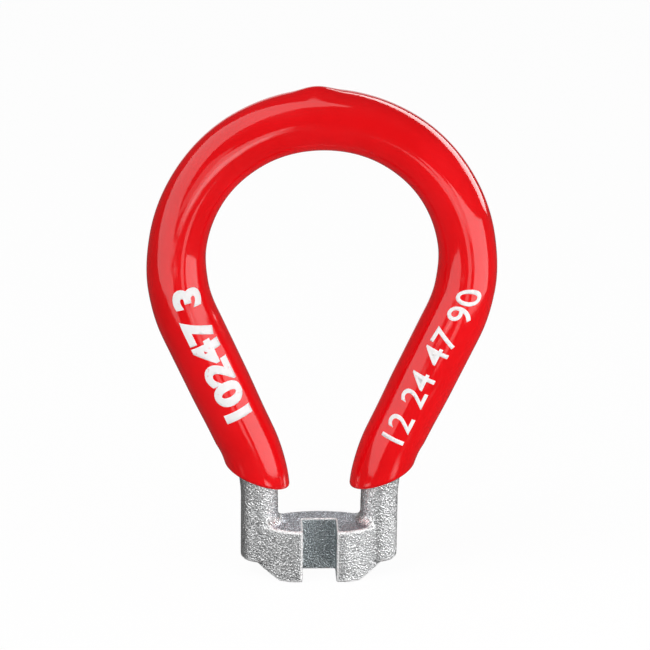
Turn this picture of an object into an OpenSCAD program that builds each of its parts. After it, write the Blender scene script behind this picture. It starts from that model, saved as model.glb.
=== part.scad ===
// Spoke wrench: a one-piece cast steel body with a dipped vinyl coat.
// The body is a round bar bent into a keyhole loop, and its two legs carry a
// short head with an open slot that grips a square spoke nipple on three sides.
// The coat covers the loop and the arms and ends in two rounded lips.
// Units are millimetres. +Z points from the head up to the loop, -Y is the
// open side of the slot. The origin is the centre of the slot's back wall.

/* [Nipple slot] */
// Width of the slot between its two side walls
slot_w = 3.45; // [3.1:0.01:4.1]
// Depth of the slot from the jaw fronts to its back wall
slot_depth = 3.35; // [2.9:0.05:3.8]
// Rounding of the jaws' upright edges at the slot mouth
mouth_r = 0.2; // [0.05:0.05:0.35]
// Rounding of the slot's two inner upright corners
slot_corner_r = 0.12; // [0.05:0.01:0.2]

/* [Head] */
// Height of the head at the jaws
head_h = 5.7; // [5:0.02:6.5]
// Thickness of the web behind the slot
web_t = 2.1; // [1.8:0.02:2.6]
// Radius of the head's rounded back face
back_r = 11.8; // [10:0.1:14]
// Width of each jaw's flat front face
jaw_face_w = 0.88; // [0.6:0.02:1.1]
// Radius of the curved flank from each jaw back to its leg
flank_r = 7.2; // [6.6:0.1:8]
// Sideways offset of the flank arc's centre from the middle
flank_offset = 1.12; // [0.9:0.02:1.3]
// Half width of the flat underside below the jaws
underside_half_w = 4; // [3.4:0.1:4.4]
// Angle at which the underside rises from there to the legs
underside_angle = 30; // [20:1:38]
// Fillet between each leg and the top of the head
leg_fillet_r = 1.0; // [0.6:0.05:1.2]
// Small bevel along the jaws' lower front edge
jaw_bevel = 0.2; // [0.05:0.05:0.4]
// Small bevel along the head's other upper and lower edges
edge_bevel = 0.12; // [0.04:0.02:0.24]

/* [Bar and loop] */
// Radius of the round bar
bar_r = 1.9; // [1.7:0.02:2.1]
// Distance between the axes of the two legs
leg_spacing = 12.24; // [11.8:0.02:12.8]
// Height of the legs' lower ends above the jaws' underside
leg_rise = 1.55; // [1.2:0.05:1.8]
// Bevel around each leg's lower end
leg_bevel = 0.25; // [0.1:0.05:0.4]
// Straight leg length above the top of the head
leg_straight = 2.42; // [2:0.02:3]
// Radius of the bend between a leg and its arm
bend_r = 16.5; // [14.5:0.5:18.5]
// Angle of the straight arms from the upright
arm_angle = 24.2; // [23:0.2:25.4]
// Radius of the two shoulder arcs above the arms
shoulder_r = 15.35; // [14.9:0.05:16]
// Radius of the round top arc of the loop
loop_r = 14.26; // [13.6:0.02:14.8]
// Angle above the horizontal at which the shoulder meets the top arc
shoulder_end = 35.8; // [30:0.2:42]

/* [Vinyl coat] */
// Outer radius of the coat around the round top and shoulders
coat_r = 2.92; // [2.7:0.02:3.1]
// Outer radius of the coat on the lower arms and at the lips
coat_arm_r = 3.08; // [2.86:0.02:3.2]
// Sideways tilt of each lip, its inner side hanging lower
lip_tilt = 21; // [10:1:24]
// Rounding of the lips
lip_r = 0.7; // [0.4:0.05:0.9]
// Height of each lip's centre above the top of the head
lip_height = 5.48; // [5.2:0.02:6.2]
// Height of the set drip at the top of the loop
drip_h = 0.34; // [0.1:0.02:0.5]
// Radius of the drip's low crown across the loop
drip_r = 2.3; // [2.1:0.05:2.6]
// Radius of the drip's long crown along the loop
drip_long_r = 4.4; // [3:0.1:6]
// Sideways place of the drip from the middle
drip_x = -0.8; // [-1.4:0.1:1.4]

/* [Hidden] */
$fn = 96;

// Hairline step between neighbouring pieces of the bar, and how far one runs
// into the next
step = 0.002 * head_h;
joint = 0.01 * head_h;

// Head, from the slot's back wall at y = 0
head_top = head_h / 2;
head_low = -head_h / 2;
jaw_front = -slot_depth;
half_slot = slot_w / 2;
jaw_corner = half_slot + jaw_face_w;
flank_y = jaw_front + sqrt(pow(flank_r, 2) - pow(jaw_corner - flank_offset, 2));
leg_low = head_low + leg_rise;

// Bar centre line in the plane y = 0, right half
leg_x = leg_spacing / 2;
bend_z = head_top + leg_straight;
bend_cx = leg_x + bend_r;
arm_x0 = leg_x + bend_r * (1 - cos(arm_angle));
arm_z0 = bend_z + bend_r * sin(arm_angle);
shoulder_cx = (loop_r - shoulder_r) * cos(shoulder_end);
arm_len = (shoulder_cx + shoulder_r * cos(arm_angle) - arm_x0) / sin(arm_angle);
shoulder_cz = arm_z0 + arm_len * cos(arm_angle) + shoulder_r * sin(arm_angle);
loop_cz = shoulder_cz - (loop_r - shoulder_r) * sin(shoulder_end);
loop_top = loop_cz + loop_r;

// Coat lips
lip_z = head_top + lip_height;
lip_rise = lip_z - bend_z;
lip_x = bend_cx - sqrt(pow(bend_r, 2) - pow(lip_rise, 2));
lip_ring_r = coat_arm_r - lip_r;
lip_flare = 52;
lip_flare_len = 5 * coat_arm_r;

// Drip, a low spindle whose pointed ends lie inside the bar
drip_z = loop_top + coat_r + drip_h - drip_r;

// Round piece of a ring lying in the plane y = 0, from angle a0 to angle a1
// counted from +X towards +Z, around the point (cx, cz)
module bar_arc(cx, cz, big_r, small_r, a0, a1) {
    translate([cx, 0, cz])
        rotate([90, 0, 0])
            mirror([0, 0, 1])
                rotate([0, 0, a0])
                    rotate_extrude(angle = a1 - a0)
                        translate([big_r, 0])
                            circle(r = small_r);
}

// Angle that a joint takes up on an arc of radius r
function joint_angle(r) = joint / r * 180 / PI;

// Bend between the leg and the arm
module bend(r) {
    more = joint_angle(bend_r);
    bar_arc(bend_cx, bend_z, bend_r, r - step, 180 - arm_angle - more, 180 + more);
}

// Straight arm from the bend up to the shoulder, radius r_low at its foot
module arm(r_low, r_high) {
    translate([arm_x0, 0, arm_z0])
        rotate([0, arm_angle, 0])
            cylinder(r1 = r_low, r2 = r_high, h = arm_len);
}

// Gentle arc between the arm and the round top
module shoulder(r) {
    more = joint_angle(shoulder_r);
    bar_arc(
        shoulder_cx, shoulder_cz, shoulder_r, r - step,
        -arm_angle - more, shoulder_end + more
    );
}

// Round top of the loop, both halves in one
module round_top(r) {
    bar_arc(0, loop_cz, loop_r, r, shoulder_end, 180 - shoulder_end);
}

module both_sides() {
    children();
    mirror([1, 0, 0]) children();
}

// Upright disc as high as the head, with both its rims bevelled
module head_disc(r) {
    translate([0, 0, head_low])
        rotate_extrude()
            polygon([
                [0, 0],
                [r - edge_bevel, 0],
                [r, edge_bevel],
                [r, head_h - edge_bevel],
                [r - edge_bevel, head_h],
                [0, head_h]
            ]);
}

// Long edge along X with a 45 degree bevel of width w, as the solid to cut away
module front_bevel(z, w) {
    translate([0, jaw_front, z])
        rotate([45, 0, 0])
            cube([2 * leg_x, sqrt(2) * w, sqrt(2) * w], center = true);
}

// Head without its slot: two flank discs, cut to the back disc and the jaw fronts
module head_mass() {
    difference() {
        intersection() {
            both_sides()
                translate([flank_offset, flank_y])
                    head_disc(flank_r);
            translate([0, web_t - back_r])
                head_disc(back_r);
            translate([-leg_x - bar_r, jaw_front, head_low])
                cube([2 * (leg_x + bar_r), slot_depth + web_t, head_h]);
        }
        front_bevel(head_low, jaw_bevel);
        front_bevel(head_top, edge_bevel);
    }
}

// Sharp corner that is taken away to leave an edge of radius r at the origin,
// the solid being on the side of +X and +Y
module edge_waste(r) {
    difference() {
        translate([-r, -r])
            square([2 * r, 2 * r]);
        translate([r, r])
            circle(r = r);
        translate([r, -2 * r])
            square([2 * r, 4 * r]);
        translate([-2 * r, r])
            square([4 * r, 2 * r]);
    }
}

// Plan of the open nipple slot with its inner corners rounded
module slot_plan() {
    translate([-half_slot, jaw_front - slot_depth])
        square([slot_w, 2 * slot_depth - slot_corner_r]);
    translate([slot_corner_r - half_slot, -slot_depth])
        square([slot_w - 2 * slot_corner_r, slot_depth]);
    both_sides()
        translate([half_slot - slot_corner_r, -slot_corner_r])
            circle(r = slot_corner_r);
}

module head_block() {
    difference() {
        head_mass();
        translate([0, 0, head_low - joint])
            linear_extrude(head_h + 2 * joint) {
                slot_plan();
                both_sides()
                    translate([half_slot, jaw_front])
                        edge_waste(mouth_r);
            }
        // Underside rising from the jaws to the legs
        both_sides()
            translate([underside_half_w, -leg_spacing, head_low])
                rotate([0, -underside_angle, 0])
                    translate([0, 0, -head_h])
                        cube([2 * leg_x, 2 * leg_spacing, head_h]);
    }
}

// Leg with a bevelled lower end
module leg() {
    translate([leg_x, 0, leg_low]) {
        cylinder(r1 = bar_r - leg_bevel, r2 = bar_r, h = leg_bevel);
        translate([0, 0, leg_bevel])
            cylinder(r = bar_r, h = bend_z - leg_low - leg_bevel);
    }
}

// Fillet that runs from the leg onto the top of the head
module leg_fillet() {
    intersection() {
        translate([leg_x, 0, head_top])
            rotate_extrude()
                difference() {
                    translate([bar_r - joint, -joint])
                        square([leg_fillet_r + joint, leg_fillet_r + joint]);
                    translate([bar_r + leg_fillet_r, leg_fillet_r])
                        circle(r = leg_fillet_r);
                }
        translate([0, 0, head_low])
            linear_extrude(2 * head_h)
                intersection() {
                    both_sides()
                        translate([flank_offset, flank_y])
                            circle(r = flank_r - edge_bevel);
                    translate([0, web_t - back_r])
                        circle(r = back_r - edge_bevel);
                }
    }
}

// The whole bent bar, which is also the hollow inside the coat
module bar_solid() {
    round_top(bar_r);
    both_sides() {
        leg();
        bend(bar_r);
        arm(bar_r, bar_r);
        shoulder(bar_r);
    }
}

// Outside of the coat's rounded, tilted end, open upwards
module lip_shape() {
    translate([lip_x, 0, lip_z])
        rotate([0, -lip_tilt, 0]) {
            rotate_extrude()
                translate([lip_ring_r, 0])
                    circle(r = lip_r);
            translate([0, 0, -lip_r])
                cylinder(r = lip_ring_r, h = lip_r + joint);
            translate([0, 0, -lip_r * sin(lip_flare)])
                cylinder(
                    r1 = lip_ring_r + lip_r * cos(lip_flare),
                    r2 = lip_ring_r + lip_r * cos(lip_flare) + lip_flare_len * sin(lip_flare),
                    h = lip_flare_len * cos(lip_flare)
                );
        }
}

// Drip that set at the top of the loop
module drip() {
    translate([drip_x, 0, drip_z])
        rotate([0, 90, 0])
            rotate_extrude()
                intersection() {
                    translate([drip_r - drip_long_r, 0])
                        circle(r = drip_long_r);
                    translate([0, -drip_long_r])
                        square([drip_r, 2 * drip_long_r]);
                }
}

module cast_body() {
    color([0.72, 0.73, 0.75])
        union() {
            head_block();
            both_sides()
                leg_fillet();
            bar_solid();
        }
}

module vinyl_coat() {
    color([0.85, 0.07, 0.07])
        difference() {
            union() {
                round_top(coat_r);
                both_sides() {
                    intersection() {
                        bend(coat_arm_r);
                        lip_shape();
                    }
                    arm(coat_arm_r, coat_r);
                    shoulder(coat_r);
                }
                drip();
            }
            bar_solid();
        }
}

cast_body();
vinyl_coat();
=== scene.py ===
# %% [markdown]
# # A spoke wrench with a dipped vinyl coat
# This lesson dresses a small hand tool for its picture: a cast steel key for the
# nipples of a bicycle wheel. The real tool is a steel bar bent into a loop, with a
# slotted head cast between its two legs. The loop was dipped in liquid vinyl,
# which set as a thick, glossy red skin. The solids of both pieces come ready made
# as a fixed frame, and every new piece is built in the same place.

# %% [markdown]
# The frame holds the two solids in their exact places, in metres. Its box is measured
# before anything is added.

# %% Load the frame
import math

import bpy
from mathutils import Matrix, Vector


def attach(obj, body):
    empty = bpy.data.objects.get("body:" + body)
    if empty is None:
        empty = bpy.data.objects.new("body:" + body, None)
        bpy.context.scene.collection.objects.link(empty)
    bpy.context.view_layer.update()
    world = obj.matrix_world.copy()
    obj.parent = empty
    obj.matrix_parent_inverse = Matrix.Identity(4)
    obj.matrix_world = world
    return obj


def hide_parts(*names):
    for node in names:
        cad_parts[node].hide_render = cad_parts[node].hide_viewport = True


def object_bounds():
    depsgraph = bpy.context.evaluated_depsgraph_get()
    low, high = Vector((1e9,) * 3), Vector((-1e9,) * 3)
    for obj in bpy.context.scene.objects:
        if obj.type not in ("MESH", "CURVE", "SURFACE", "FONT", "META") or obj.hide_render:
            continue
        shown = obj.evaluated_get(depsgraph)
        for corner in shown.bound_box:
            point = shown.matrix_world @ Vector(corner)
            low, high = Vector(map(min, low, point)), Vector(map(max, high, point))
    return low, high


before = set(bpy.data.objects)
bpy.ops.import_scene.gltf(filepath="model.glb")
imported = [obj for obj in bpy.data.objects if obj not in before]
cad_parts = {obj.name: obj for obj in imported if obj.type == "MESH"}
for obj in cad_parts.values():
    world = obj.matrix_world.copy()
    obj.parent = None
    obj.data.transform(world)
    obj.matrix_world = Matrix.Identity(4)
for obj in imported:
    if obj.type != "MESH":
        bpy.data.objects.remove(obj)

solid_low, solid_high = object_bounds()
print("solids, mm:", [round(1000 * (b - a), 2) for a, b in zip(solid_low, solid_high)])

# %% [markdown]
# ## A few habits
# Blender counts in metres, and several of its tools, such as the voxel remesher,
# stop at a tenth of a millimetre. A tool this small is easier to shape at one
# unit to the millimetre, so each piece is modelled at that size and shrunk at the
# very end. Operators act on all that is selected, so each step first clears the
# selection and then picks its own piece.

# %% Helpers for picking a piece, applying a modifier and closing the work
MM = 0.001


def pick_nothing():
    """Goes to object mode with nothing selected."""
    if bpy.context.object and bpy.context.object.mode != "OBJECT":
        bpy.ops.object.mode_set(mode="OBJECT")
    bpy.ops.object.select_all(action="DESELECT")


def work_on(piece):
    """Leaves only this piece selected and active, in object mode."""
    pick_nothing()
    piece.select_set(True)
    bpy.context.view_layer.objects.active = piece


def apply_modifier(piece, kind, **settings):
    """Adds one modifier with these settings and applies it at once."""
    work_on(piece)
    modifier = piece.modifiers.new(kind.title(), kind)
    for name, value in settings.items():
        setattr(modifier, name, value)
    bpy.ops.object.modifier_apply(modifier=modifier.name)


def to_metres(piece):
    """Shrinks a piece that was modelled in millimetres, and settles its place."""
    work_on(piece)
    piece.scale = (MM, MM, MM)
    bpy.ops.object.transform_apply(location=True, rotation=True, scale=True)


def tell(piece):
    """Prints what the piece has come to."""
    triangles = sum(len(p.vertices) - 2 for p in piece.data.polygons)
    size = [round(d / MM, 2) for d in piece.dimensions]
    print(f"{piece.name}: {triangles} triangles, {size} mm")


# %% [markdown]
# ## The line that the bar follows
# The bar rises straight out of the head, bends outwards, runs up a straight arm,
# turns gently over the shoulder and closes in a round top. A few sizes give the
# whole line, so it is written once here and used for the coat and for the print.
# Angles are counted from the upright, and the right half is enough, because the
# left half is its mirror image.

# %% Sizes of the bar's centre line, right half, in millimetres
LEG_X = 6.12
BAR_R = 1.9
BEND_Z = 5.27
BEND_R = 16.5
ARM_TILT = math.radians(24.2)
SHOULDER_R = 15.35
LOOP_R = 14.26
SHOULDER_END = math.radians(35.8)

arm_foot = Vector((
    LEG_X + BEND_R * (1 - math.cos(ARM_TILT)), 0, BEND_Z + BEND_R * math.sin(ARM_TILT)
))
shoulder_x = (LOOP_R - SHOULDER_R) * math.cos(SHOULDER_END)
arm_length = (
    (shoulder_x + SHOULDER_R * math.cos(ARM_TILT) - arm_foot.x) / math.sin(ARM_TILT)
)
shoulder_z = (
    arm_foot.z + arm_length * math.cos(ARM_TILT) + SHOULDER_R * math.sin(ARM_TILT)
)
loop_z = shoulder_z - (LOOP_R - SHOULDER_R) * math.sin(SHOULDER_END)

bend_length = BEND_R * ARM_TILT
shoulder_length = SHOULDER_R * (ARM_TILT + SHOULDER_END)
top_length = LOOP_R * (math.pi / 2 - SHOULDER_END)
half_length = bend_length + arm_length + shoulder_length + top_length
print("centre line, half:", round(half_length, 2), "mm")

# %% Any point of that line
def bar_point(s):
    """Point and tilt of the centre line at the length s above the bend's start."""
    if s <= bend_length:
        a = s / BEND_R
        x = LEG_X + BEND_R * (1 - math.cos(a))
        return Vector((x, 0, BEND_Z + BEND_R * math.sin(a))), a
    s -= bend_length
    if s <= arm_length:
        along = Vector((math.sin(ARM_TILT), 0, math.cos(ARM_TILT)))
        return arm_foot + s * along, ARM_TILT
    s -= arm_length
    if s <= shoulder_length:
        a = s / SHOULDER_R - ARM_TILT
        x = shoulder_x + SHOULDER_R * math.cos(a)
        return Vector((x, 0, shoulder_z + SHOULDER_R * math.sin(a))), -a
    a = min((s - shoulder_length) / LOOP_R + SHOULDER_END, math.pi / 2)
    return Vector((LOOP_R * math.cos(a), 0, loop_z + LOOP_R * math.sin(a))), -a


print("top of the line at z", round(bar_point(half_length)[0].z, 2), "mm")

# %% [markdown]
# ## The vinyl coat
# Hot steel dipped in vinyl comes out with a skin that is nearly even, a little
# thicker low on the arms, where it ran down before it set. The skin could be a
# curve with a round bevel, but its ends need thick, rolled lips that hang askew,
# and a curve can't give those. Instead one circle of points is extruded along the
# bar: down the inside against the steel, round the lip, and back up outside.

# %% Outside radius of the coat, from the lips to the top
COAT_RADII = [
    (0.00, 3.04), (0.05, 3.00), (0.12, 3.02), (0.23, 3.11), (0.36, 3.12),
    (0.46, 3.02), (0.56, 2.88), (0.68, 2.87), (0.84, 2.95), (1.00, 3.02),
]
LIP_S = 2.99


def smooth_table(table, t):
    """Value at t of a table of (place, value), eased between its rows."""
    for (t0, v0), (t1, v1) in zip(table, table[1:]):
        if t <= t1:
            k = max(0.0, min(1.0, (t - t0) / (t1 - t0)))
            return v0 + (v1 - v0) * k * k * (3 - 2 * k)
    return table[-1][1]


def coat_radius(s):
    return smooth_table(COAT_RADII, (s - LIP_S) / (half_length - LIP_S))


print("coat, mm across at its lip:", round(2 * coat_radius(LIP_S), 2))

# %% [markdown]
# The lips hang askew, their inner side lower, so the rings near them lean and ease
# back to square further up. A ring that leans would make the tube thinner, as a
# slanted slice of a round bar is an oval. So each leaning ring is stretched sideways
# by just as much, and the tube stays round under it.

# %% Rings that lean near the lips
LIP_ASKEW = math.radians(30.5)
LIP_EASE = 7.0


def askew(s):
    """How far the ring of points at s leans from square across the bar."""
    ease = max(0.0, 1 - max(0.0, s - LIP_S) / LIP_EASE)
    return math.atan(math.tan(LIP_ASKEW) * ease * ease * (3 - 2 * ease))


def ring(s, radius):
    """Centre, tilt, radius and sideways stretch of the coat's ring at s."""
    centre, tilt = bar_point(s)
    return centre, tilt - askew(s), radius, 1 / math.cos(askew(s))


print("lean at the lip, degrees:", round(math.degrees(askew(LIP_S)), 1))

# %% [markdown]
# All rings are listed before any is made: that way the whole tube can be read as one
# table. The inside starts at the top and comes down the bar, a few rings cross the
# lip's hollow underside, ten go round its roll, and the outside climbs back up.

# %% Stations of the coat: centre, tilt, radius and stretch of every ring of points
INSIDE_RINGS = 60
OUTSIDE_RINGS = 190
LIP_ROLL = 0.55
LIP_DROP = 0.55
LIP_HOLLOW = 0.15
LIP_STEPS = 10
UNDERSIDE_SHARES = (0.0, 0.35, 0.7)
GRIP = 0.02

stations = []
for i in range(INSIDE_RINGS + 1):
    s = half_length + (LIP_S - half_length) * i / INSIDE_RINGS
    stations.append(ring(s, BAR_R - GRIP))
lip_centre, lip_tilt, _, lip_stretch = ring(LIP_S, 0)
_, bar_tilt = bar_point(LIP_S)
bar_way = Vector((math.sin(bar_tilt), 0, math.cos(bar_tilt)))
edge_r = coat_radius(LIP_S) - LIP_ROLL
for share in UNDERSIDE_SHARES:
    r = BAR_R - GRIP + (edge_r - BAR_R) * share
    drop = LIP_DROP - LIP_HOLLOW * (1 - share)
    stations.append((lip_centre - drop * bar_way, lip_tilt, r, lip_stretch))
for i in range(LIP_STEPS):
    a = math.pi / 2 * i / LIP_STEPS
    centre = lip_centre - LIP_DROP * math.cos(a) * bar_way
    stations.append((centre, lip_tilt, edge_r + LIP_ROLL * math.sin(a), lip_stretch))
for i in range(OUTSIDE_RINGS + 1):
    s = LIP_S + (half_length - LIP_S) * i / OUTSIDE_RINGS
    stations.append(ring(s, coat_radius(s)))
print("rings of points:", len(stations))

# %% The first ring
RING_POINTS = 96

pick_nothing()
first, first_tilt, first_r, _ = stations[0]
bpy.ops.mesh.primitive_circle_add(
    vertices=RING_POINTS, radius=first_r, location=first, rotation=(0, first_tilt, 0)
)
coat = bpy.context.object
coat.name = "dipped_coat"
bpy.ops.object.transform_apply(location=True, rotation=True, scale=True)
print("points in a ring:", len(coat.data.vertices))

# %% Extrude the ring from station to station
ALIKE = 1e-9


def turn_ring(angle, centre):
    """Turns the chosen ring about Y; with no window the sense is the other one."""
    bpy.ops.transform.rotate(
        value=-angle, orient_axis="Y", orient_type="GLOBAL", center_override=centre
    )


bpy.ops.object.mode_set(mode="EDIT")
bpy.ops.mesh.select_all(action="SELECT")
for (here, tilt, r, wide), (there, new_tilt, new_r, new_wide) in zip(
    stations, stations[1:]
):
    bpy.ops.mesh.extrude_region_move(TRANSFORM_OT_translate={"value": there - here})
    grow = new_r / r
    if abs(new_wide - wide) < ALIKE:
        turn_ring(new_tilt - tilt, there)
        bpy.ops.transform.resize(value=(grow, grow, grow), center_override=there)
    else:
        turn_ring(-tilt, there)
        bpy.ops.transform.resize(
            value=(grow * new_wide / wide, grow, 1), center_override=there
        )
        turn_ring(new_tilt, there)
bpy.ops.object.mode_set(mode="OBJECT")
last = coat.data.vertices[-1].co
print("last ring ends at x", round(last.x, 4), "z", round(last.z, 3))

# %% [markdown]
# The other half is the mirror image. The tool was hung up by its head while the
# vinyl set, so the last drop gathered at the loop's top, a little to one side. It is
# a low hump, and the points there are simply lifted by a soft bell shape.

# %% Mirror the half, then lift the last drop at the top
SEAM_MERGE = 0.001
MERGE = 0.0005
DRIP_X = -0.8
DRIP_H = 0.34
DRIP_HALF_X = 2.8
DRIP_HALF_Y = 1.9
DRIP_DEPTH = 1.5

apply_modifier(
    coat, "MIRROR", use_axis=(True, False, False), merge_threshold=SEAM_MERGE
)
bpy.ops.object.mode_set(mode="EDIT")
bpy.ops.mesh.select_all(action="SELECT")
bpy.ops.mesh.remove_doubles(threshold=MERGE)
bpy.ops.mesh.normals_make_consistent(inside=False)
bpy.ops.object.mode_set(mode="OBJECT")
coat_top = max(v.co.z for v in coat.data.vertices)
for v in coat.data.vertices:
    across, along = (v.co.x - DRIP_X) / DRIP_HALF_X, v.co.y / DRIP_HALF_Y
    reach = math.hypot(across, along)
    if reach < 1 and v.co.z > coat_top - DRIP_DEPTH:
        v.co.z += DRIP_H * (0.5 + 0.5 * math.cos(math.pi * reach))
bpy.ops.object.shade_smooth()
to_metres(coat)
tell(coat)

# %% [markdown]
# ## The cast steel
# The solid already has every face of the casting, but its edges are knife sharp,
# and a casting has none. A bevel on each edge would work, but the edges where the
# curved flanks, the fillets and the round legs run together would tangle. So a copy
# of the solid is remeshed into tiny even squares, and smoothing them rounds every
# edge alike, as the mould does. Only the head and legs show, so the bar under the
# coat is thinned out again.

# %% Copy the solid, and work at one unit to the millimetre
SOLID_MERGE = 1e-7

cast_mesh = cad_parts["cast_body"].data.copy()
steel = bpy.data.objects.new("cast_steel_body", cast_mesh)
bpy.context.scene.collection.objects.link(steel)
work_on(steel)
bpy.ops.object.mode_set(mode="EDIT")
bpy.ops.mesh.select_all(action="SELECT")
bpy.ops.mesh.remove_doubles(threshold=SOLID_MERGE)
bpy.ops.transform.resize(value=(1 / MM,) * 3, center_override=(0, 0, 0))
bpy.ops.object.mode_set(mode="OBJECT")
print("solid's triangles:", len(steel.data.polygons))

# %% Remesh, smooth, and thin the hidden bar
SQUARE = 0.082
SMOOTH_STEPS = 5
HIDDEN_ABOVE = 9.0
HIDDEN_SHARE = 0.03

apply_modifier(
    steel, "REMESH", mode="VOXEL", voxel_size=SQUARE, use_smooth_shade=True
)
apply_modifier(steel, "SMOOTH", factor=0.5, iterations=SMOOTH_STEPS)
hidden = steel.vertex_groups.new(name="hidden")
above = [v.index for v in steel.data.vertices if v.co.z > HIDDEN_ABOVE]
hidden.add(above, 1.0, "REPLACE")
share_shown = 1 - len(above) / len(steel.data.vertices)
apply_modifier(
    steel, "DECIMATE", ratio=share_shown + HIDDEN_SHARE, vertex_group="hidden",
    vertex_group_factor=1.0,
)
steel.vertex_groups.clear()
print("share of the points that shows:", round(share_shown, 3))

# %% [markdown]
# A casting's edges draw thin lines of light, and here these are painted on the steel as a
# white highlight. The shader's Pointiness could find the edges, but the grain below would
# hide them from it.
# So they are found now, while the skin is still smooth: a point on an edge stands
# out from the middle of its neighbours. How much it does is kept with the mesh as a
# value from 0 to 1, for the finish to read. The marks stop a little below the thinned
# bar, because its large triangles would pass for edges.

# %% Mark the edges for the painted highlight
EDGE_FROM, EDGE_FULL = 0.02, 0.05
MARKED_BELOW = HIDDEN_ABOVE - 1.0

points = steel.data.vertices
pulls = [Vector() for _ in points]
neighbours = [0] * len(points)
for edge in steel.data.edges:
    a, b = edge.vertices
    step = points[b].co - points[a].co
    pulls[a] += step
    pulls[b] -= step
    neighbours[a] += 1
    neighbours[b] += 1
# The value kept here tells where the steel gets its painted white highlight.
painted_highlight = steel.data.attributes.new("painted_highlight", "FLOAT", "POINT")
for v, pull, count, mark in zip(points, pulls, neighbours, painted_highlight.data):
    out = -pull.dot(v.normal) / max(1, count) / SQUARE
    share = (out - EDGE_FROM) / (EDGE_FULL - EDGE_FROM)
    shown = v.co.z < MARKED_BELOW
    mark.value = max(0.0, min(1.0, share)) if shown else 0.0
print("points on rubbed edges:", sum(mark.value > 0.5 for mark in painted_highlight.data))

# %% [markdown]
# Sand casting and tumbling leave the steel pebbled all over, with grains of about a
# fifth of a millimetre. The largest are worth real relief, because they break up the
# outline and the edges, so the points are pushed in and out by a cloud pattern. The
# finer grain is left to the finish.

# %% Real relief of the coarse grain
GRAIN_SIZE = 0.13
GRAIN_HEIGHT = 0.06

clouds = bpy.data.textures.new("coarse_grain", "CLOUDS")
clouds.noise_scale = GRAIN_SIZE
clouds.noise_depth = 1
apply_modifier(
    steel, "DISPLACE", texture=clouds, texture_coords="LOCAL", mid_level=0.5,
    strength=GRAIN_HEIGHT,
)
bpy.ops.object.shade_smooth()
to_metres(steel)
tell(steel)

# %% [markdown]
# ## The printed numbers
# Tools like this carry a white print on the arms, pressed on with a soft pad. Here it
# is a plain row of numbers on each arm. A text could be bent along a curve, but it
# has to go round the tube as well. So a flat text becomes a mesh, is stretched to its
# length and height, and is cut into small cells that can follow the coat.

# %% A flat row of numbers, cut into cells
CELL = 0.3


def flat_numbers(name, body, length, height, weight):
    """White print, flat, from x = 0 to length, with its middle on y = 0."""
    pick_nothing()
    bpy.ops.object.text_add(location=(0, 0, 0))
    text = bpy.context.object
    text.name = name
    text.data.body = body
    text.data.offset = weight
    text.data.resolution_u = 6
    bpy.ops.object.convert(target="MESH")
    film = bpy.context.object
    xs = [v.co.x for v in film.data.vertices]
    ys = [v.co.y for v in film.data.vertices]
    bpy.ops.object.mode_set(mode="EDIT")
    bpy.ops.mesh.select_all(action="SELECT")
    bpy.ops.transform.translate(value=(-min(xs), -(min(ys) + max(ys)) / 2, 0))
    bpy.ops.transform.resize(
        value=(length / (max(xs) - min(xs)), height / (max(ys) - min(ys)), 1),
        center_override=(0, 0, 0),
    )
    for i in range(1, int(length / CELL) + 1):
        bpy.ops.mesh.select_all(action="SELECT")
        bpy.ops.mesh.bisect(plane_co=(i * CELL, 0, 0), plane_no=(1, 0, 0))
    steps = int(height / 2 / CELL) + 1
    for i in range(-steps, steps + 1):
        bpy.ops.mesh.select_all(action="SELECT")
        bpy.ops.mesh.bisect(plane_co=(0, i * CELL, 0), plane_no=(0, 1, 0))
    bpy.ops.mesh.select_all(action="SELECT")
    bpy.ops.mesh.remove_doubles(threshold=MERGE)
    bpy.ops.object.mode_set(mode="OBJECT")
    return film


left_print = flat_numbers("print_left", "10247 3", 15.2, 3.1, 0.05)
print("cells of the left print:", len(left_print.data.polygons))

# %% [markdown]
# The flat row is then laid on the coat: its length runs up the bar's line and its
# height goes round the tube. The upper half of the right row drifts a little to one
# side, as a print does when the pad is set down askew. A thickness of a few
# hundredths of a millimetre makes it a film of ink.

# %% Lay the rows on the coat of both arms
FILM = 0.045
FILM_LIFT = 0.6


def lay_on_arm(film, side, start, turn, drift=0.0):
    """Lays flat print up one arm, from start on, side being -1 for the left arm."""
    length = max(v.co.x for v in film.data.vertices)
    for v in film.data.vertices:
        s = start + v.co.x
        centre, tilt = bar_point(s)
        radius = coat_radius(s) + FILM_LIFT * FILM
        slide = drift * max(0.0, v.co.x / length - 0.5) ** 2
        around = math.radians(turn) + (v.co.y + slide) / radius
        left = Vector((-math.cos(tilt), 0, side * math.sin(tilt)))
        front = Vector((0, -1, 0))
        middle = Vector((side * centre.x, 0, centre.z))
        v.co = middle + radius * (math.cos(around) * front + math.sin(around) * left)
    apply_modifier(film, "SOLIDIFY", thickness=FILM, offset=-1.0)
    to_metres(film)
    tell(film)


lay_on_arm(left_print, side=-1, start=10.1, turn=-17)
right_print = flat_numbers("print_right", "12 24 47 90", 17.9, 2.55, 0.008)
lay_on_arm(right_print, side=1, start=7.4, turn=14, drift=-4.5)

# %% [markdown]
# ## Finishes
# A finish is a small net of nodes. It could be joined by hand in the shader editor,
# but written out it can be read from top to bottom. Three short helpers make a
# material, add a node with its settings, and join two sockets.

# %% Make, add and link
def new_material(name):
    """A new material and its Principled shader."""
    material = bpy.data.materials.new(name)
    material.use_nodes = True
    return material, material.node_tree.nodes["Principled BSDF"]


def add(material, kind, **settings):
    """Adds a node, sets its inputs and properties by name, and returns it."""
    node = material.node_tree.nodes.new("ShaderNode" + kind)
    for name, value in settings.items():
        if name in node.inputs:
            node.inputs[name].default_value = value
        else:
            setattr(node, name, value)
    return node


def link(material, out, into):
    material.node_tree.links.new(out, into)


print("three helpers for nodes")

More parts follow.
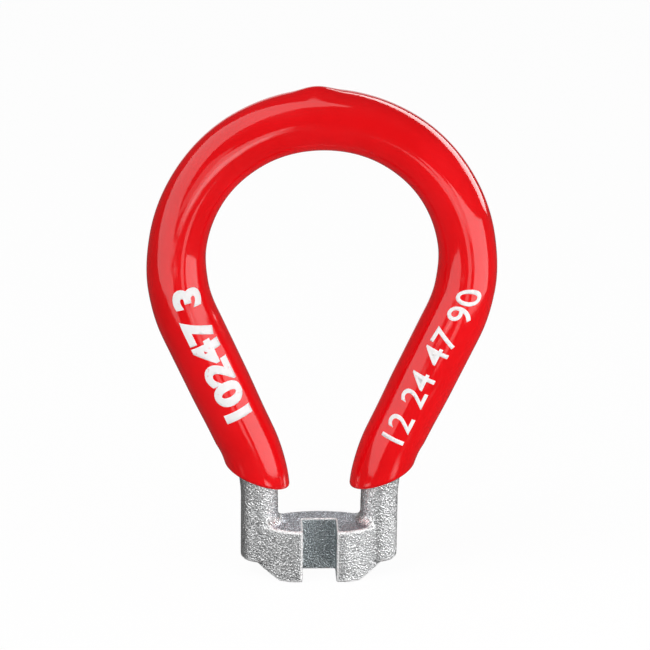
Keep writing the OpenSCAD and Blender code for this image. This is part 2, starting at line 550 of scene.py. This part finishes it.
# %% [markdown]
# Every pattern here reads Object coordinates, so it is fixed to the piece. Those
# count in metres, and a noise can't be finer than Scale 1000, so a Mapping node first
# turns them into millimetres: Scale 5 then has patches of a fifth of a millimetre.

# %% Patterns, and what they drive
def millimetres(material):
    """The place on the piece, counted in millimetres."""
    place = add(material, "TexCoord")
    grow = add(material, "Mapping", Scale=(1 / MM,) * 3)
    link(material, place.outputs["Object"], grow.inputs["Vector"])
    return grow.outputs["Vector"]


def noise(material, place, scale, detail):
    """Cloudy values about 0.5, in patches of one over scale millimetres."""
    node = add(material, "TexNoise", Scale=scale, Detail=detail)
    link(material, place, node.inputs["Vector"])
    return node.outputs["Fac"]


def ramp(material, value, *stops):
    """Turns a value into a colour, by stops of (place, red, green, blue)."""
    node = add(material, "ValToRGB")
    elements = node.color_ramp.elements
    while len(elements) < len(stops):
        elements.new(1.0)
    for element, (at, *rgb) in zip(elements, stops):
        element.position = at
        element.color = (*rgb, 1)
    link(material, value, node.inputs["Fac"])
    return node.outputs["Color"]


def ranged(material, value, low, high, new_low=0.0, new_high=1.0):
    """Moves a value from one range to another, softly and without overshoot."""
    node = add(material, "MapRange", interpolation_type="SMOOTHSTEP")
    for name, number in (
        ("From Min", low), ("From Max", high), ("To Min", new_low), ("To Max", new_high)
    ):
        node.inputs[name].default_value = number
    link(material, value, node.inputs["Value"])
    return node.outputs["Result"]


def bumped(material, value, height, under=None):
    """A normal roughened by a height in metres, on top of another bump if given."""
    node = add(material, "Bump", Strength=1.0, Distance=height)
    link(material, value, node.inputs["Height"])
    if under is not None:
        link(material, under, node.inputs["Normal"])
    return node.outputs["Normal"]


print("five helpers for patterns")

# %% [markdown]
# ## Glossy vinyl
# Dipped vinyl flows before it sets, so it is smooth as glass close up, yet never
# quite even: long shallow sags make the edges of its reflections waver, and the red
# is a little deeper where the skin is thick. A plain glossy red would look like
# paint on a machined ring. Here a wide noise gives the sags, a fine one the faint
# orange peel, and two more vary the red and the gloss.

# %% Vinyl
SAG_HEIGHT = 0.00003
PEEL_HEIGHT = 0.000003

vinyl, shader = new_material("gloss_vinyl")
place = millimetres(vinyl)
depth = noise(vinyl, place, 0.16, 2.0)
red = ramp(vinyl, depth, (0.30, 0.83, 0.0025, 0.005), (0.70, 0.93, 0.005, 0.009))
link(vinyl, red, shader.inputs["Base Color"])
handled = noise(vinyl, place, 0.42, 4.0)
gloss = ranged(vinyl, handled, 0.35, 0.70, 0.07, 0.12)
link(vinyl, gloss, shader.inputs["Roughness"])
sags = bumped(vinyl, noise(vinyl, place, 0.26, 1.0), SAG_HEIGHT)
peel = bumped(vinyl, noise(vinyl, place, 1.7, 2.0), PEEL_HEIGHT, under=sags)
link(vinyl, peel, shader.inputs["Normal"])
shader.inputs["IOR"].default_value = 1.5
coat.data.materials.append(vinyl)
print("vinyl nodes:", len(vinyl.node_tree.nodes))

# %% [markdown]
# ## White ink
# Pad printing leaves a thin film of flat white. It is less shiny than the vinyl, and
# in a few thin spots a little of the red comes through, so the white is mottled by a
# fine noise that touches pink at its lowest.

# %% Ink
INK_HEIGHT = 0.000006

ink, shader = new_material("white_ink")
place = millimetres(ink)
cover = noise(ink, place, 2.6, 3.0)
white = ramp(ink, cover, (0.24, 0.93, 0.62, 0.62), (0.36, 0.96, 0.955, 0.96))
link(ink, white, shader.inputs["Base Color"])
link(ink, ranged(ink, cover, 0.3, 0.7, 0.30, 0.42), shader.inputs["Roughness"])
link(ink, bumped(ink, cover, INK_HEIGHT), shader.inputs["Normal"])
for film in (left_print, right_print):
    film.data.materials.append(ink)
print("ink nodes:", len(ink.node_tree.nodes))

# %% [markdown]
# ## Cast steel
# The casting is plated over its pebbled skin, so every grain catches the light on one side
# and is dark on the other: close up the grey is salt and pepper. A noise of about a sixth
# of a millimetre drives the height of the grains and their gloss, as the tops of the
# grains are polished first. It drives their colour too, from dark grey to near white. That
# spread is partly the grains' own tone and partly painted light and shade: the lit side
# and the dark side of each grain are painted into the grey.
# Three places differ, and all three are painted light and shade. The slot's walls are
# painted darker and a cooler grey: painted shade in the recess, where little light
# reaches. Faces that point up, chiefly the level top of the head, are painted a shade
# darker and bluer: painted shade, picked by the way a face points. The edges are painted
# white as a highlight: there the white is nearly without a mirror, so that it catches
# light from all sides and draws a thin line.

# %% Helpers for arithmetic and for toning a colour
def maths(material, operation, first, second=0.0):
    """Works out a value from one or two; the second may be a plain number."""
    node = add(material, "Math", operation=operation)
    link(material, first, node.inputs[0])
    if isinstance(second, (int, float)):
        node.inputs[1].default_value = second
    else:
        link(material, second, node.inputs[1])
    return node.outputs[0]


def toned(material, colour, tone, share, blend="MULTIPLY"):
    """Multiplies a colour by a tone, or blends it with one, where share is 1."""
    node = add(material, "Mix", data_type="RGBA", blend_type=blend)
    link(material, share, node.inputs[0])
    link(material, colour, node.inputs[6])
    node.inputs[7].default_value = (*tone, 1)
    return node.outputs[2]


print("two helpers for arithmetic and toning")

# %% Steel: the grain, and the places with painted light and shade
SLOT_SIDE, SLOT_BACK, SLOT_FADE = 1.76, 0.10, 0.04
LEVEL_FROM, LEVEL_FULL = 0.75, 0.95
# Painted shade: the slot's walls are multiplied by this cool grey.
SLOT_SHADE_TONE = (0.65, 0.71, 0.73)
# Painted shade: faces that point up are multiplied by this bluer grey.
UP_FACING_SHADE_TONE = (0.82, 0.84, 0.90)
# Painted highlight: the marked edges are blended towards this white.
EDGE_HIGHLIGHT_TONE = (1.0, 1.0, 1.0)

cast, shader = new_material("cast_steel")
place = millimetres(cast)
axes = add(cast, "SeparateXYZ")
link(cast, place, axes.inputs[0])
facing = add(cast, "SeparateXYZ")
link(cast, add(cast, "TexCoord").outputs["Normal"], facing.inputs[0])

grains = noise(cast, place, 6.0, 1.0)
# The ramp paints the grains from dark grey to near white: partly their own tone, partly
# painted light and shade of each grain.
grey = ramp(
    cast, grains,
    (0.34, 0.36, 0.365, 0.37), (0.50, 0.70, 0.705, 0.71), (0.64, 0.97, 0.975, 0.98),
)
across = maths(cast, "ABSOLUTE", axes.outputs["X"])
# Painted shade inside the slot: a soft box from the slot's sides to its back wall darkens
# the grey there.
slot_shade = maths(
    cast, "MULTIPLY",
    ranged(cast, across, SLOT_SIDE - SLOT_FADE, SLOT_SIDE + SLOT_FADE, 1.0, 0.0),
    ranged(
        cast, axes.outputs["Y"], SLOT_BACK - SLOT_FADE, SLOT_BACK + SLOT_FADE, 1.0, 0.0
    ),
)
grey = toned(cast, grey, SLOT_SHADE_TONE, slot_shade)
# Painted shade on faces that point up: the more a face points up, the darker and bluer its
# grey.
up_facing_shade = ranged(cast, facing.outputs["Z"], LEVEL_FROM, LEVEL_FULL)
grey = toned(cast, grey, UP_FACING_SHADE_TONE, up_facing_shade)
# Painted highlight: the marked edges are painted white.
bright = add(cast, "Attribute", attribute_name="painted_highlight").outputs["Fac"]
grey = toned(cast, grey, EDGE_HIGHLIGHT_TONE, bright, blend="MIX")
link(cast, grey, shader.inputs["Base Color"])
print("steel nodes for the colour:", len(cast.node_tree.nodes))

# %% [markdown]
# The gloss and the height come from the same grains. The copied solid still has its
# own plain material in the first slot, and every face uses that slot, so the slots
# are cleared before the new steel goes in.

# %% Steel: gloss and height
PEBBLE_HEIGHT = 0.0001
METAL, METAL_ON_EDGE = 0.9, 0.35

# Less metal on the marked edges lets their painted white highlight take the fills' light
# from all sides.
metallic = ranged(cast, bright, 0.0, 1.0, METAL, METAL_ON_EDGE)
link(cast, metallic, shader.inputs["Metallic"])
link(cast, ranged(cast, grains, 0.35, 0.65, 0.38, 0.24), shader.inputs["Roughness"])
link(cast, bumped(cast, grains, PEBBLE_HEIGHT), shader.inputs["Normal"])
steel.data.materials.clear()
steel.data.materials.append(cast)
print("steel nodes:", len(cast.node_tree.nodes))

# %% [markdown]
# ## Setting the pieces on the frame
# The tool is one rigid thing, so every piece rides on the single body, "root". The coat
# and the steel stand in for the two plain solids. The two prints are ink only and stand
# for no solid.

# %% Ride and stand for
for piece, node, slot in (
    (coat, "vinyl_coat", "vinyl"), (steel, "cast_body", "cast_steel")
):
    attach(piece, "root")
    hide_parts(node)
for film in (left_print, right_print):
    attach(film, "root")
print("pieces on the frame: 4")

# %% [markdown]
# ## The camera
# Two points place the camera: the one that it looks at and the one that it stands
# on, 30 centimetres off and 21 degrees above. A long lens keeps the legs nearly
# upright, and a lean of under a degree is what a hand on a tripod leaves.

# %% Camera
AIM = Vector((0.000356, 0.0, 0.024112))
EYE = Vector((-0.011861, -0.279807, 0.131622))
LEAN = 0.013

camera_data = bpy.data.cameras.new("camera")
camera_data.lens = 166.15
camera_data.sensor_width = 36.0
camera_data.clip_start = 0.01
camera = bpy.data.objects.new("camera", camera_data)
bpy.context.scene.collection.objects.link(camera)
camera.location = EYE
camera.rotation_euler = (AIM - EYE).to_track_quat("-Z", "Y").to_euler()
camera.rotation_euler.rotate_axis("Z", LEAN)
bpy.context.scene.camera = camera
print("camera to aim, mm:", round((AIM - EYE).length / MM, 1))

# %% [markdown]
# ## The light
# Gloss shows its lamps as sharp bands, so the bands on the coat tell where cards of
# light stand: quite near, one round the left and over the top, one on the right, a
# few small ones in front. Each lamp is given by its place in millimetres, its size
# and its glow, which is how bright it looks. The watts follow from the glow, so the
# same glow keeps the same look at any size. The inner band at the upper left is
# brightest in its middle and fades outwards, so its card has a core and a dim wing.

# %% Cards of light
def card(name, place, width, height, glow, aim=AIM, spread=180):
    """A soft lamp at a place in millimetres, facing the point to aim at."""
    data = bpy.data.lights.new(name, "AREA")
    data.shape = "RECTANGLE"
    data.size, data.size_y = width * MM, height * MM
    data.energy = glow * math.pi * data.size * data.size_y
    data.spread = math.radians(spread)
    lamp = bpy.data.objects.new(name, data)
    bpy.context.scene.collection.objects.link(lamp)
    lamp.location = Vector(place) * MM
    lamp.rotation_euler = (aim - lamp.location).to_track_quat("-Z", "Y").to_euler()
    lamp.visible_camera = False
    print(name, round(data.energy, 5), "W")
    return lamp


card("right_card", (74, -50, 12), 88, 45, 3.0)
card("front_left_card", (-24, -87, 30), 33, 35, 2.0)
card("front_left_wing", (-49, -75, 42), 24, 34, 0.9)
card("front_left_core", (-17, -88, 20), 24, 22, 1.8)
card("front_right_card", (21, -85, 2), 18, 28, 1.8)
card("front_upper_card", (36, -85, 19), 20, 18, 2.0)

# %% [markdown]
# The head stands too low for those cards, and its grains need a light of their own.
# Two small cards low in front give it, the right one brighter, with a gap between
# them that leaves a darker stripe down each leg. A third one, on the right and a
# little behind, draws a bright rim. Their spread is narrow, like a lamp behind a grid,
# so that they reach the head and hardly touch the loop.

# %% The head's own cards
HEAD = Vector((0, -0.001, -0.002))
GRID_SPREAD = 32

card("head_left_card", (-33, -26, -17), 26, 24, 0.07, aim=HEAD, spread=GRID_SPREAD)
card("head_right_card", (24, -34, -17), 26, 24, 0.13, aim=HEAD, spread=GRID_SPREAD)
card("head_rim_card", (41, 11, -16), 26, 24, 0.15, aim=HEAD, spread=GRID_SPREAD)

# %% [markdown]
# Cards alone leave the red dull. A wide lamp overhead, one from either side and a
# bounce from low on the right fill it. All are kept out of mirror rays, because the
# gloss shows no band of theirs: a real ceiling, wall or table top lights a thing just
# as softly.

# %% Fills that no gloss mirrors
for fill in (
    card("overhead_fill", (100, -250, 880), 1200, 1200, 0.90),
    card("left_fill", (-280, -200, 430), 300, 300, 3.6),
    card("right_fill", (350, -250, 60), 300, 300, 0.75),
    card("low_bounce", (768, -135, -426), 900, 700, 0.10),
):
    fill.visible_glossy = False

# %% [markdown]
# On the left one sheet of cloth is lit from behind. It starts low in front, rises
# round the tool and ends over the top, so its band runs round the whole loop without
# a break, where a row of boxes would leave seams in the gloss. A second, thin sheet
# at the upper right draws the white sliver on the shoulder. Each sheet is a grid
# whose rows are laid on a sphere about the tool: a row is a turn about the line of
# sight, from the left over the top, and its near and far edge are angles from that
# line.

# %% Sheets of cloth on a sphere
SHEET_AWAY = 0.09
SHEET_COLUMNS = 12
LEFT_SHEET = [
    (-60, 36, 48), (-50, 38, 55), (-42, 40, 60), (-34, 40, 66), (-25, 41, 71),
    (-13, 43, 78), (0, 46, 84), (7, 48, 86), (18, 49, 90), (27, 50, 93),
    (36, 50, 95), (46, 50, 96), (56, 48, 89), (62, 48, 85), (72, 48, 76),
    (81, 49, 70), (90, 50, 66), (98, 52, 60), (105, 54, 57),
]
SLIVER_SHEET = [
    (97, 111, 116), (105, 106, 117), (119, 100, 118), (139, 98, 122), (157, 98, 121),
    (165, 101, 113),
]

toward_eye = (EYE - AIM).normalized()
eye_right = Vector((0, 0, 1)).cross(toward_eye).normalized()
eye_up = toward_eye.cross(eye_right)


def cloth_sheet(name, rows):
    """A grid whose rows are (turn, near edge, far edge) on the sphere, in degrees."""
    pick_nothing()
    bpy.ops.mesh.primitive_grid_add(
        x_subdivisions=SHEET_COLUMNS, y_subdivisions=len(rows) - 1
    )
    sheet = bpy.context.object
    sheet.name = name
    for v in sheet.data.vertices:
        row = round((v.co.y + 1) / 2 * (len(rows) - 1))
        share = (v.co.x + 1) / 2
        turn, near, far = (math.radians(a) for a in rows[row])
        apart = near + (far - near) * share
        sideways = -math.cos(turn) * eye_right + math.sin(turn) * eye_up
        way = math.sin(apart) * sideways + math.cos(apart) * toward_eye
        v.co = AIM + SHEET_AWAY * way
    print(name, "faces:", len(sheet.data.polygons))
    return sheet


left_sheet = cloth_sheet("left_sheet", LEFT_SHEET)
sliver_sheet = cloth_sheet("sliver_sheet", SLIVER_SHEET)

# %% [markdown]
# The sheets glow evenly. They serve the gloss alone: the fills already light the red
# softly, and so near a sheet would bleach the arm beside it. So they are left out of
# diffuse rays, and they cast no shadow.

# %% Make the sheets glow
def lit_from_behind(sheet, glow):
    """Gives a sheet an even glow that only mirror rays meet."""
    sheet.visible_camera = False
    sheet.visible_diffuse = False
    sheet.visible_shadow = False
    cloth = bpy.data.materials.new(sheet.name + "_cloth")
    cloth.use_nodes = True
    cloth.node_tree.nodes.clear()
    lit = add(cloth, "Emission", Color=(1, 1, 1, 1), Strength=glow)
    output = add(cloth, "OutputMaterial")
    link(cloth, lit.outputs[0], output.inputs["Surface"])
    sheet.data.materials.append(cloth)
    print(sheet.name, "glow:", glow)


lit_from_behind(left_sheet, 2.0)
lit_from_behind(sliver_sheet, 6.0)

# %% [markdown]
# ## Floor and backdrop
# The tool stands on a white floor that runs out of sight. White that comes from more
# lamps would burn out the steel, so the floor is white only for the camera: Light
# Path gives those rays a glow just under 1, with a little true white on top that
# still takes the tool's shadow. To all other rays it is a pale grey.

# %% Floor
FLOOR_R = 1.5
FLOOR_GAP = 0.0001

pick_nothing()
bpy.ops.mesh.primitive_circle_add(
    vertices=128, radius=FLOOR_R, fill_type="NGON",
    location=(0, 0, solid_low[2] - FLOOR_GAP),
)
floor = bpy.context.object
floor.name = "floor"
bpy.ops.object.transform_apply(location=True, rotation=True, scale=True)
floor.visible_glossy = False
floor.visible_shadow = False
print("floor at z, mm:", round((solid_low[2] - FLOOR_GAP) / MM, 2))

# %% White for the camera, pale grey for the rest
FLOOR_GLOW = 0.955
FLOOR_GREY = 0.55
FLOOR_SHADE = 0.05

pale, shader = new_material("pale_floor")
shader.inputs["Base Color"].default_value = (FLOOR_GREY,) * 3 + (1,)
shader.inputs["Roughness"].default_value = 0.9
shader.inputs["Specular IOR Level"].default_value = 0.0
seen = add(pale, "Emission", Color=(1, 1, 1, 1), Strength=FLOOR_GLOW)
shaded = add(pale, "BsdfDiffuse", Color=(FLOOR_SHADE,) * 3 + (1,))
seen_white = add(pale, "AddShader")
link(pale, seen.outputs[0], seen_white.inputs[0])
link(pale, shaded.outputs[0], seen_white.inputs[1])
rays = add(pale, "LightPath")
mask = maths(
    pale, "ADD", rays.outputs["Is Camera Ray"], rays.outputs["Is Transmission Ray"]
)
mix = add(pale, "MixShader")
link(pale, mask, mix.inputs[0])
link(pale, shader.outputs[0], mix.inputs[1])
link(pale, seen_white.outputs[0], mix.inputs[2])
surface = pale.node_tree.nodes["Material Output"].inputs["Surface"]
link(pale, mix.outputs[0], surface)
floor.data.materials.append(pale)
print("floor nodes:", len(pale.node_tree.nodes))

# %% [markdown]
# The studio round it is dark, so that the bands on the gloss stand out, but the
# backdrop behind the tool is white for the camera. Mirror rays see that backdrop
# too, straight behind the tool, and it draws the thin pale rim along the loop.

# %% World
STUDIO_DIM = 0.10
BACKDROP_FROM, BACKDROP_FULL = 0.90, 0.98

world = bpy.data.worlds.new("studio")
bpy.context.scene.world = world
world.use_nodes = True
background = world.node_tree.nodes["Background"]
background.inputs["Color"].default_value = (1, 1, 1, 1)
rays = add(world, "LightPath")
mirror = maths(
    world, "ADD", rays.outputs["Is Glossy Ray"], rays.outputs["Is Transmission Ray"]
)
way = add(world, "TexCoord")
way_axes = add(world, "SeparateXYZ")
link(world, way.outputs["Generated"], way_axes.inputs[0])
behind = ranged(world, way_axes.outputs["Y"], BACKDROP_FROM, BACKDROP_FULL)
mirrored = maths(world, "MULTIPLY", mirror, behind)
mask = maths(world, "MAXIMUM", rays.outputs["Is Camera Ray"], mirrored)
strength = ranged(world, mask, 0.0, 1.0, STUDIO_DIM, 1.0)
link(world, strength, background.inputs["Strength"])
print("world nodes:", len(world.node_tree.nodes))

# %% [markdown]
# ## The end
# The plain view transform shows each colour as it is written.

# %% View
bpy.context.scene.view_settings.view_transform = "Standard"
